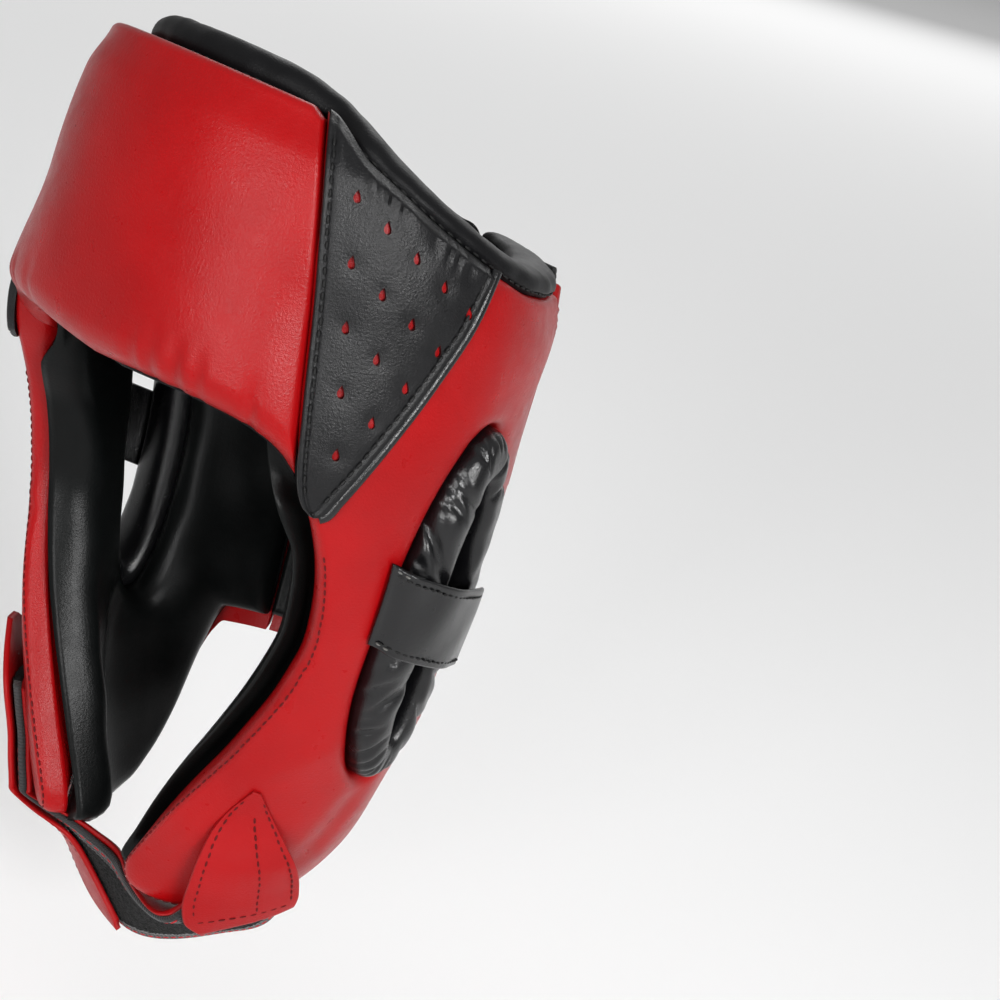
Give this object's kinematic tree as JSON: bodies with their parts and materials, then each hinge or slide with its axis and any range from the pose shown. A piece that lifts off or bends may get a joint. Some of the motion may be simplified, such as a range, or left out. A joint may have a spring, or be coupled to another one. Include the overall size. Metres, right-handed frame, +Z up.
{
  "type": "boxing head guard",
  "caption": "Padded red and black leather head guard with open face, cheek pads, ear openings, rear hook-and-loop straps and chin strap.",
  "frame": {"origin": "underside of the crown straps where they cross, where the top of the wearer's head sits", "axes": "+Z up, the face looks along -Y, the wearer's left is +X"},
  "size_m": [0.165, 0.1577, 0.2852],
  "materials": {
    "red_leather": "fine-grained semi-gloss leather over foam",
    "black_leather": "fine-grained semi-gloss leather",
    "lining_leather": "soft smooth lining leather over foam",
    "webbing": "woven polyester tape",
    "loop_pile": "brushed loop pile"
  },
  "bodies": {
    "root": {"forehead_pad": "red_leather", "side_pad_left": "red_leather", "side_pad_right": "red_leather", "rear_pad": "red_leather", "upper_flap": "red_leather", "lower_flap": "red_leather", "chin_strap": "red_leather", "chin_tab_left": "red_leather", "chin_tab_right": "red_leather", "temple_patch_left": "black_leather", "temple_patch_right": "black_leather", "top_rim": "black_leather", "ear_pad_left": "black_leather", "ear_pad_right": "black_leather", "ear_strap_left": "black_leather", "ear_strap_right": "black_leather", "lining_front": "lining_leather", "lining_left": "lining_leather", "lining_right": "lining_leather", "lining_rear": "lining_leather", "webbing_left": "webbing", "webbing_right": "webbing", "crown_strap_long": "webbing", "crown_strap_cross": "webbing", "upper_loop_panel": "loop_pile", "lower_loop_panel": "loop_pile", "chin_loop": "loop_pile"}
  },
  "joints": []
}
